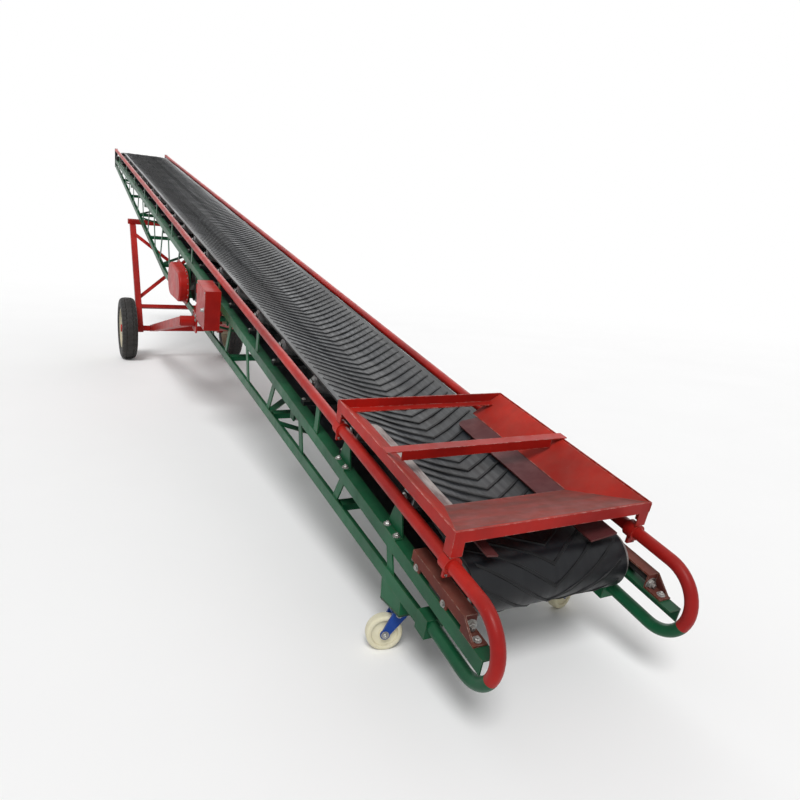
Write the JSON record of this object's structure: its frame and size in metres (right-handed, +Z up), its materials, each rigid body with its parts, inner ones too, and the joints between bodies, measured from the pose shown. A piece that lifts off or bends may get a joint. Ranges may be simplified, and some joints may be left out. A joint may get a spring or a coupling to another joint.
{
  "type": "mobile inclined belt conveyor",
  "caption": "Wheeled inclined belt conveyor with a lattice-truss boom, ribbed belt, feed hopper, braced undercarriage with road wheels and swivel casters at the tail.",
  "frame": {"origin": "floor under the middle of the machine's bounding box", "axes": "+Y along the boom from the hopper to the discharge head, +X to the right across the belt, +Z up"},
  "size_m": [1.318, 10.3772, 2.6618],
  "materials": {
    "green_paint": "gloss",
    "red_paint": "gloss",
    "belt_rubber": "satin",
    "skirt_rubber": "matte",
    "dark_steel": "satin",
    "brown_primer": "matte",
    "cast_block": "matte",
    "pulley_steel": "satin",
    "roller_steel": "satin",
    "motor_grey": "satin",
    "blue_paint": "gloss",
    "cream_nylon": "gloss",
    "tyre": "matte",
    "cream_rim": "satin"
  },
  "bodies": {
    "boom": {"arm_brackets": "red_paint", "belt": "belt_rubber", "belt_ribs": "belt_rubber", "caster_gussets": "green_paint", "caster_plates": "dark_steel", "control_box": "red_paint", "cross_ties": "green_paint", "drive_drum": "pulley_steel", "drive_guard": "red_paint", "drum_plates": "green_paint", "head_bearing_blocks": "cast_block", "head_end_bars": "dark_steel", "head_pulley": "pulley_steel", "hopper_clamps": "red_paint", "hopper_frame": "red_paint", "hopper_plates": "red_paint", "hopper_skirts": "skirt_rubber", "idler_brackets": "dark_steel", "idler_rollers": "roller_steel", "motor": "motor_grey", "motor_bracket": "green_paint", "rail_brackets": "green_paint", "return_rollers": "roller_steel", "roller_hangers": "green_paint", "side_rail_left": "red_paint", "side_rail_right": "red_paint", "tail_bearing_blocks": "cast_block", "tail_collars": "green_paint", "tail_pulley": "pulley_steel", "tail_tubes": "green_paint", "take_up_channels": "brown_primer", "truss_left": "green_paint", "truss_right": "green_paint"},
    "lift_arms": {"front_arm_left": "red_paint", "front_arm_right": "red_paint", "axle_beam": "red_paint"},
    "strut_frame": {"strut_post_left": "red_paint", "strut_post_right": "red_paint", "strut_crossbars": "red_paint", "strut_braces": "red_paint"},
    "road_wheel_left": {"tyre_left": "tyre", "rim_left": "cream_rim"},
    "road_wheel_right": {"tyre_right": "tyre", "rim_right": "cream_rim"},
    "caster_fork_left": {"caster_fork_left": "blue_paint"},
    "caster_fork_right": {"caster_fork_right": "blue_paint"},
    "caster_wheel_left": {"caster_wheel_left": "cream_nylon"},
    "caster_wheel_right": {"caster_wheel_right": "cream_nylon"},
    "box_door": {"control_box_door": "red_paint"}
  },
  "joints": [
    {"name": "arm_lift", "type": "hinge", "parent": "boom", "child": "lift_arms", "pos_m": [0, -1.21497, 0.74103], "axis": [1, 0, 0], "range_deg": [0, 6]},
    {"name": "strut_fold", "type": "hinge", "parent": "lift_arms", "child": "strut_frame", "pos_m": [0, 1.67763, 0.3425], "axis": [1, 0, 0], "range_deg": [-24.9, 0.2]},
    {"name": "wheel_spin_left", "type": "hinge", "parent": "lift_arms", "child": "road_wheel_left", "pos_m": [-0.579, 1.67763, 0.3425], "axis": [1, 0, 0], "continuous": true},
    {"name": "wheel_spin_right", "type": "hinge", "parent": "lift_arms", "child": "road_wheel_right", "pos_m": [0.579, 1.67763, 0.3425], "axis": [1, 0, 0], "continuous": true},
    {"name": "caster_swivel_left", "type": "hinge", "parent": "boom", "child": "caster_fork_left", "pos_m": [-0.336, -4.59091, 0.148], "axis": [0, 0, 1], "continuous": true},
    {"name": "caster_roll_left", "type": "hinge", "parent": "caster_fork_left", "child": "caster_wheel_left", "pos_m": [-0.3843, -4.57797, 0.0625], "axis": [-0.2588, -0.9659, 0], "continuous": true},
    {"name": "caster_swivel_right", "type": "hinge", "parent": "boom", "child": "caster_fork_right", "pos_m": [0.336, -4.59091, 0.148], "axis": [0, 0, 1], "continuous": true},
    {"name": "caster_roll_right", "type": "hinge", "parent": "caster_fork_right", "child": "caster_wheel_right", "pos_m": [0.3843, -4.57797, 0.0625], "axis": [-0.2588, 0.9659, 0], "continuous": true},
    {"name": "door_hinge", "type": "hinge", "parent": "boom", "child": "box_door", "pos_m": [-0.4726, -1.77508, 0.94985], "axis": [0, 0.2123, -0.9772], "range_deg": [0, 115]}
  ],
  "couplings": [
    {"joint": "strut_fold", "follows": "arm_lift", "ratio": -4.1}
  ]
}
